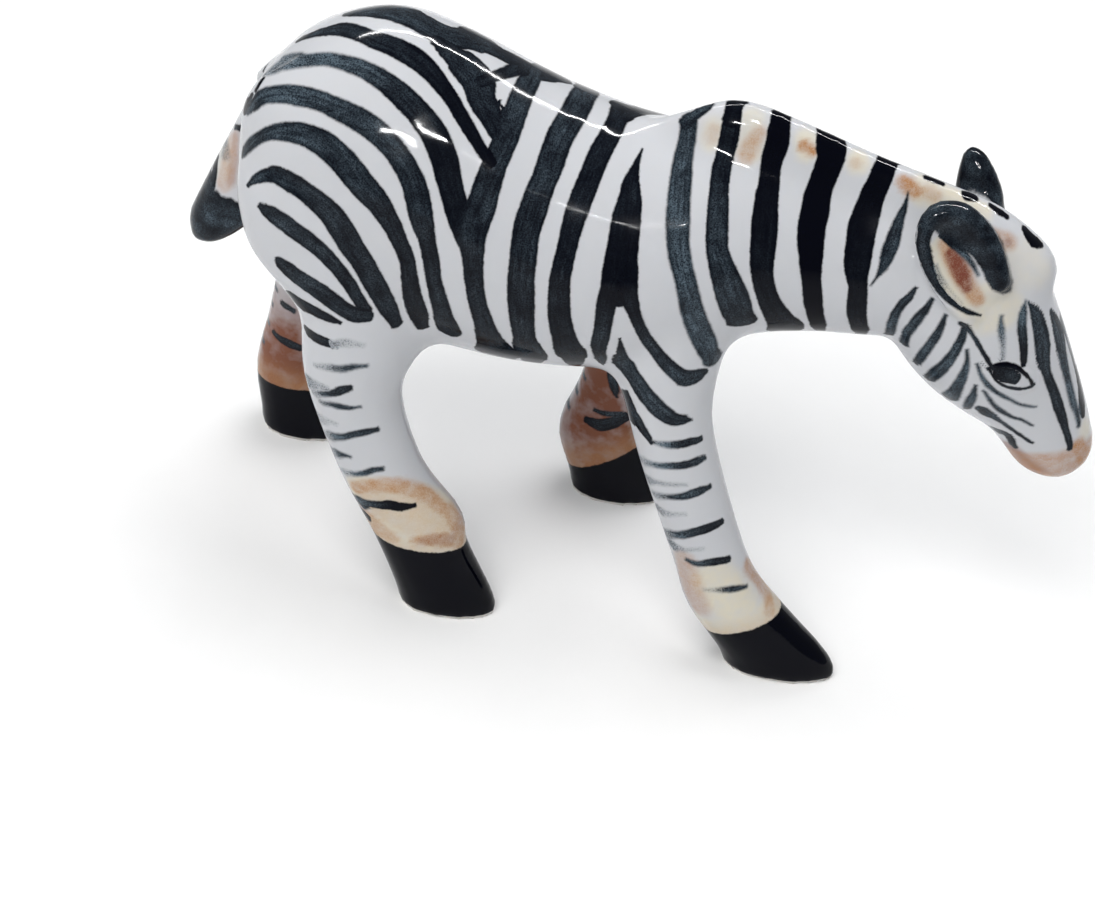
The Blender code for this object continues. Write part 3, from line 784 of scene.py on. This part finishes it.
# Rounding out of the rump beside the tail, in mm: where it starts and ends
rump = {
    "push": 1.5,
    "aside": (2.3, 3.8),  # from the middle plane
    "outer": (7.5, 10.5),
    "nearer": 1.1,  # higher up than the tail's root it starts this much nearer the middle
    "tailRoot": (33.5, 36.5),
    "rise": (23.5, 28.5),
    "top": (38.0, 42.0),
    "farTop": (34.5, 38.5),
    "depth": (-26.5, -19.0),
}


def fillRump(obj):  # rounds the rump out beside the tail, a little higher on the near side
    points = coordinates(obj)
    x, y, z = (points / mm).T
    aside = np.abs(y - skin["middle"] / mm)
    nearer = rump["nearer"] * smoothStep(z, *rump["tailRoot"])
    share = smoothStep(aside + nearer, *rump["aside"]) * (1 - smoothStep(aside, *rump["outer"]))
    end = np.where(y < skin["middle"] / mm, smoothStep(z, *rump["top"]), smoothStep(z, *rump["farTop"]))
    share *= smoothStep(z, *rump["rise"]) * (1 - end) * (1 - smoothStep(x, *rump["depth"]))
    points[:, 0] -= share * rump["push"] * mm
    setCoordinates(obj, points)


# How the far ear is slimmed, in mm: the zone across and ahead, the shares, and how much taller it gets
slimming = {"zone": (3.2, 2.0), "low": (0.20, 0.4, 3.0), "high": (0.20, 2.8), "stretch": 0.06}


def narrowEar(obj):  # the far ear is slimmer and a little taller than its solid
    points = coordinates(obj)
    along, across, ahead, length, faces = earPlaces(points, ears["far"])
    wide, deep = slimming["zone"]
    zone = (np.abs(across) < wide) & (np.abs(ahead) < deep) & (along > 0) & (along < length + 2)
    (low, start, end), (high, further) = slimming["low"], slimming["high"]
    share = low * smoothStep(along, start, end) + high * smoothStep(along, further, length)
    root, tip = (np.array(ears["far"][key], float) for key in ("root", "tip"))
    lengthwise = (tip - root) / length
    crosswise = np.cross(lengthwise, faces)
    move = -crosswise * (across * share)[:, None] + lengthwise * (slimming["stretch"] * along)[:, None]
    points[zone] += move[zone] * mm
    setCoordinates(obj, points)


# The eye: its corners in the view, and its bulge, where length and height are shares of half its length
eye = {"corners": [(989, 368), (1033, 387)], "bulge": 0.30 * mm, "length": 1.1, "height": 0.62,
       "depth": 1.5 * mm, "roundness": 0.7}


def shapeEyes(obj, tree):  # makes the mesh fine round both eyes, then domes them
    cornerA, cornerB = (hitPixel(tree, *corner)[0] for corner in eye["corners"])
    middle, out, _, _ = tree.find_nearest((cornerA + cornerB) / 2)
    along = cornerB - cornerA
    places = [(middle, along, out)]
    otherMiddle = Vector((middle.x, 2 * skin["middle"] - middle.y, middle.z))
    places.append((otherMiddle, *(Vector((v.x, -v.y, v.z)) for v in (along, out))))
    for middle, _, _ in places:
        points = coordinates(obj)
        refine(obj, np.linalg.norm(points - np.array(middle), axis=1) < skin["eyeReach"], skin["eyeRounds"])
    for middle, along, out in places:
        points, normals = coordinates(obj), coordinates(obj, "normal")
        half = along.length / 2
        lengthwise = np.array(along.normalized())
        upward = np.array(out.cross(along).normalized())
        off = points - np.array(middle)
        a, b = off @ lengthwise / (half * eye["length"]), off @ upward / (half * eye["height"])
        dome = np.clip(1 - a * a - b * b, 0, 1)
        near = np.abs(off @ np.array(out)) < eye["depth"]
        points += normals * (np.where(near, dome ** eye["roundness"], 0) * eye["bulge"])[:, None]
        setCoordinates(obj, points)


class Graph:  # a short way to wire one material
    def __init__(self, name):
        self.material = bpy.data.materials.new(name)
        self.material.use_nodes = True
        self.nodes = self.material.node_tree.nodes
        self.links = self.material.node_tree.links
        self.shader = self.nodes["Principled BSDF"]

    def add(self, kind, inputs=None, **settings):
        node = self.nodes.new(kind)
        for key, value in settings.items():
            setattr(node, key, value)
        for key, value in (inputs or {}).items():
            if isinstance(value, bpy.types.NodeSocket):
                self.links.new(value, node.inputs[key])
            else:
                node.inputs[key].default_value = value
        return node

    def math(self, operation, a, b=0.0, c=0.0, clamp=False):
        return self.add("ShaderNodeMath", {0: a, 1: b, 2: c}, operation=operation, use_clamp=clamp).outputs[0]

    def product(self, *values, clamp=False):
        result = values[0]
        for value in values[1:]:
            result = self.math("MULTIPLY", result, value, clamp=clamp)
        return result

    def blend(self, factor, a, b):
        return self.add("ShaderNodeMix", {"Factor": factor, "A": a, "B": b}).outputs[0]

    def colours(self, factor, a, b):
        return self.add("ShaderNodeMix", {0: factor, 6: a, 7: b}, data_type="RGBA").outputs[2]

    def remap(self, value, low, high, toLow=0.0, toHigh=1.0, smooth=False):
        inputs = {"Value": value, "From Min": low, "From Max": high, "To Min": toLow, "To Max": toHigh}
        kind = "SMOOTHSTEP" if smooth else "LINEAR"
        return self.add("ShaderNodeMapRange", inputs, interpolation_type=kind).outputs[0]

    def noise(self, vector, scale, detail=3.0, roughness=0.55):
        inputs = {"Vector": vector, "Scale": scale, "Detail": detail, "Roughness": roughness}
        return self.add("ShaderNodeTexNoise", inputs).outputs[0]

    def read(self, name, output="Fac"):
        return self.add("ShaderNodeAttribute", attribute_name=name).outputs[output]

    def parts(self, vector):
        return self.add("ShaderNodeSeparateXYZ", {0: vector}).outputs


glaze = {
    "white": (0.530, 0.540, 0.565, 1),
    "cream": (0.640, 0.590, 0.470, 1),
    "tan": (0.41, 0.215, 0.105, 1),
    "rust": (0.180, 0.055, 0.036, 1),
    # A brown darker than its glaze, partly painted shade on the legs
    "brownAndShade": (0.200, 0.076, 0.045, 1),
    "ink": (0.0006, 0.0009, 0.0036, 1),
    "wash": (0.105, 0.145, 0.180, 1),
    "bisque": (0.62, 0.60, 0.57, 1),
    "roughness": (0.05, 0.12),  # at its smoothest and at its dullest
    "specular": 0.09,
    "fade": (0.20, 0.080),  # mm over which the edge of a faint and of a full mark fades
    "blunt": 0.15,  # mm that a mark may run past its own rounded end
    "rim": 0.35,  # mm of bare clay above the ground
    "thinning": 0.82,
}


def strokeInk(g, uneven):  # all the brush marks: where they cover, how thin and how strong they are
    soft, crisp = glaze["fade"]
    covered, thin, strength = None, None, None
    for layer in range(brush["layers"]):
        across, outside, half = g.parts(g.read(f"mark{layer}", "Vector"))[:3]
        along, density, number = g.parts(g.read(f"ink{layer}", "Vector"))[:3]
        lateral = g.math("SUBTRACT", g.math("ABSOLUTE", across), half)
        edge = g.math("MAXIMUM", lateral, g.math("SUBTRACT", outside, glaze["blunt"]))
        edge = g.math("ADD", edge, uneven)
        fade = g.remap(density, 0.30, 0.85, soft, crisp)
        here = g.remap(edge, fade, g.product(fade, -1.0), smooth=True)
        hairs = g.add("ShaderNodeCombineXYZ", {0: g.product(across, 4.5), 1: g.product(along, 0.45),
                                               2: g.product(number, 3.7)}).outputs[0]
        streak = g.remap(g.noise(hairs, 1.0, 2.5, 0.6), 0.30, 0.72, 0.40, 1.60)
        gather = g.remap(density, 0.30, 0.80, 1.0, 0.40)  # colour gathers at the edges
        pooled = g.remap(edge, -0.05, -0.42, gather, 1.0, smooth=True)
        lack = g.product(g.math("SUBTRACT", 1.0, density), streak, pooled)
        if covered is None:
            covered, thin, strength = here, lack, density
        else:
            covered = g.math("MAXIMUM", covered, here)
            chosen = g.remap(here, 0.0, 0.05)
            thin = g.blend(chosen, thin, lack)
            strength = g.blend(chosen, strength, density)
    return covered, thin, strength


def dippedInk(g, uneven, cloud, covered, thin, strength):  # adds the hooves, the tuft and the ears
    fullness = g.read("dippedInk")
    fade = g.remap(fullness, 0.85, 1.0, 0.16, glaze["fade"][1])
    edge = g.math("ADD", g.read("dipped"), g.product(uneven, 1.5))
    dipped = g.remap(edge, fade, g.product(fade, -1.0), smooth=True)
    softly = g.product(g.math("SUBTRACT", 1.0, fullness), g.remap(cloud, 0.3, 0.7, 0.3, 1.7))
    covered = g.math("MAXIMUM", covered, dipped)
    chosen = g.remap(dipped, 0.0, 0.05)
    thin = g.blend(chosen, thin, softly)
    strength = g.blend(chosen, strength, 1.0)
    return covered, thin, strength


def tintedClay(g, grain, cloud, place):  # the white with its tints, under the ink
    dabs = g.remap(g.noise(place, 1300, 3.0), 0.3, 0.7, 0.70, 1.2)  # tints are dabbed on unevenly
    flecks = g.remap(grain, 0.35, 0.65, 0.8, 1.2)
    under = g.colours(g.product(g.read("creamTint"), dabs, clamp=True), glaze["white"], glaze["cream"])
    # Brown tint, partly tan glaze and partly painted shade on the legs
    under = g.colours(g.product(g.read("brownAndShadeTint"), g.remap(cloud, 0.3, 0.7, 0.75, 1.15), clamp=True), under,
                      glaze["brownAndShade"])
    for tint in ("tan", "rust"):
        under = g.colours(g.product(g.read(tint + "Tint"), dabs, flecks, clamp=True), under, glaze[tint])
    return under


def glazeMaterial():
    g = Graph("handPaintedGlaze")
    place = g.add("ShaderNodeTexCoord").outputs["Object"]
    # The brush edge is never even
    waver = g.product(g.math("SUBTRACT", g.noise(place, 1900, 2.0), 0.5), 0.13)
    ragged = g.product(g.math("SUBTRACT", g.noise(place, 8000, 3.0), 0.5), 0.10)
    uneven = g.math("ADD", waver, ragged)
    grain = g.noise(place, 9500, 2.0, 0.7)  # pigment settling in the glaze
    cloud = g.noise(place, 650, 3.0)

    covered, thin, strength = strokeInk(g, uneven)
    covered, thin, strength = dippedInk(g, uneven, cloud, covered, thin, strength)

    speckle = g.remap(grain, 0.35, 0.66, 0.20, 2.10)
    drift = g.remap(cloud, 0.32, 0.68, 0.45, 1.55)
    thin = g.product(thin, speckle, drift, glaze["thinning"], clamp=True)
    ink = g.colours(thin, glaze["ink"], glaze["wash"])
    dry = g.math("SUBTRACT", strength, g.product(g.math("SUBTRACT", grain, 0.5), 0.6))
    dry = g.remap(dry, 0.0, 0.40, 0.15, 1.0, smooth=True)  # faint marks let the white through
    covered = g.product(covered, dry)
    colour = g.colours(covered, tintedClay(g, grain, cloud, place), ink)
    height = g.math("ADD", g.parts(place)[2], g.product(waver, 0.6 * mm))
    bare = g.remap(height, glaze["rim"] * mm, (glaze["rim"] - 0.12) * mm, smooth=True)
    g.links.new(g.colours(bare, colour, glaze["bisque"]), g.shader.inputs["Base Color"])

    smooth, dull = glaze["roughness"]
    breath = g.remap(g.noise(place, 260, 2.0), 0.35, 0.65, smooth, dull)
    g.links.new(g.blend(bare, breath, 0.7), g.shader.inputs["Roughness"])
    uniform = {"Specular IOR Level": glaze["specular"], "IOR": 1.5, "Subsurface Weight": 0.10,
               "Subsurface Radius": (1.0, 0.7, 0.5), "Subsurface Scale": 0.5 * mm}
    for socket, value in uniform.items():
        g.shader.inputs[socket].default_value = value
    ripple = g.math("ADD", g.noise(place, 330, 2.0), g.product(g.noise(place, 1700, 2.0), 0.16))
    bump = g.add("ShaderNodeBump", {"Height": ripple, "Strength": 0.30, "Distance": 0.06 * mm})
    g.links.new(bump.outputs[0], g.shader.inputs["Normal"])
    return g.material


def floorMaterial():
    g = Graph("palePaper")
    place = g.add("ShaderNodeTexCoord").outputs["Object"]
    shade = g.remap(g.noise(place, 60, 3.0), 0.3, 0.7)
    g.links.new(g.colours(shade, (0.90, 0.90, 0.90, 1), (0.93, 0.93, 0.93, 1)), g.shader.inputs["Base Color"])
    g.shader.inputs["Roughness"].default_value = 0.9
    g.shader.inputs["Specular IOR Level"].default_value = 0.2
    return g.material


# Lamps: the first two only light the scene, the other four only show as glints in the glaze
studio = {
    "aim": (0.0, 0.0, 0.02),
    "sky": 0.32,
    "skyColour": (0.93, 0.96, 1.0, 1),
    "lamps": {
        "softBox": {"place": (-0.16, -0.22, 0.42), "size": (0.30, 0.30), "power": 1.75, "glints": False,
                    "colour": (1.0, 0.99, 0.97)},
        "topFill": {"place": (0.10, 0.16, 0.55), "size": (0.45, 0.45), "power": 1.7, "glints": False},
        "tube": {"place": (0.0, 0.17, 0.34), "size": (0.55, 0.008), "power": 5.0, "glints": True},
        "window": {"place": (-0.02, -0.315, 0.20), "size": (0.08, 0.014), "power": 1.40, "glints": True},
        "shade": {"place": (0.06, -0.27, 0.25), "size": (0.03, 0.014), "power": 0.48, "glints": True},
        "bulb": {"place": (0.098, -0.272, 0.238), "size": (0.006, 0.004), "power": 0.02, "glints": True},
    },
}


def areaLamp(name, lamp):
    data = bpy.data.lights.new(name, "AREA")
    data.shape = "RECTANGLE"
    data.size, data.size_y = lamp["size"]
    data.energy = lamp["power"]
    data.color = lamp.get("colour", (1, 1, 1))
    obj = bpy.data.objects.new(name, data)
    bpy.context.scene.collection.objects.link(obj)
    obj.location = lamp["place"]
    obj.rotation_euler = (Vector(studio["aim"]) - Vector(lamp["place"])).to_track_quat("-Z", "Y").to_euler()
    obj.visible_glossy = lamp["glints"]  # the soft boxes give the light, the narrow lamps the glints
    obj.visible_diffuse = not lamp["glints"]


def addCamera():
    right, up, back = axes
    data = bpy.data.cameras.new("photoView")
    data.sensor_width = view["sensor"]
    data.lens = view["sensor"] * view["focalPixels"] / view["pictureWidth"]
    data.clip_start = 0.01
    obj = bpy.data.objects.new("photoView", data)
    bpy.context.scene.collection.objects.link(obj)
    obj.matrix_world = Matrix((right, up, back)).transposed().to_4x4()
    obj.location = eyePoint
    bpy.context.scene.camera = obj


def addStage():
    bpy.ops.object.select_all(action="DESELECT")
    bpy.ops.mesh.primitive_plane_add(size=3.0, location=(0, 0, 0))
    floor = bpy.context.object
    floor.name = "floor"
    floor.data.materials.append(floorMaterial())
    world = bpy.data.worlds.new("softStudio")
    world.use_nodes = True
    sky = world.node_tree.nodes["Background"].inputs
    sky[0].default_value = studio["skyColour"]
    sky[1].default_value = studio["sky"]
    bpy.context.scene.world = world
    bpy.context.scene.view_settings.view_transform = "Standard"
    for name, lamp in studio["lamps"].items():
        areaLamp(name, lamp)


print("adding the camera and the stage")
addCamera()
addStage()

print("making the clay body")
zebra = makeSkin()
fillRump(zebra)
narrowEar(zebra)
points = coordinates(zebra)
refine(zebra, (points[:, 0] > skin["headFrom"][0]) & (points[:, 2] > skin["headFrom"][1]), skin["headRounds"])
tree = treeOf(zebra)

print("shaping the eyes")
shapeEyes(zebra, tree)
points = coordinates(zebra)
points[:, 2] = np.where(points[:, 2] < skin["soleFlat"], 0.0, points[:, 2])
setCoordinates(zebra, points)
tree = treeOf(zebra)

print("painting a mesh of", sum(len(face.vertices) - 2 for face in zebra.data.polygons), "triangles")
paint = Paint(zebra)
for marks in (bodyMarks, headMarks, earMarks, legMarks, tailMarks):
    paintMarks(paint, tree, marks, mirror=marks not in (earMarks, legMarks))
paintHooves(paint, tree)
paintTail(paint)
paintFarLegs(paint, tree)
paintEars(paint)
paintTints(paint, tree)
paintMuzzle(paint, tree)
for layer in range(brush["layers"]):
    storeValues(zebra, f"mark{layer}", paint.marks[layer], "FLOAT_VECTOR")
    storeValues(zebra, f"ink{layer}", paint.inks[layer], "FLOAT_VECTOR")
storeValues(zebra, "dipped", paint.dipped)
storeValues(zebra, "dippedInk", paint.dippedInk)
for name in tints:
    storeValues(zebra, name + "Tint", paint.tint[name])
onlySelect(zebra)
bpy.ops.object.shade_smooth()
zebra.data.materials.append(glazeMaterial())

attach(zebra, "root")
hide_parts("zebra_figurine")

print("done")
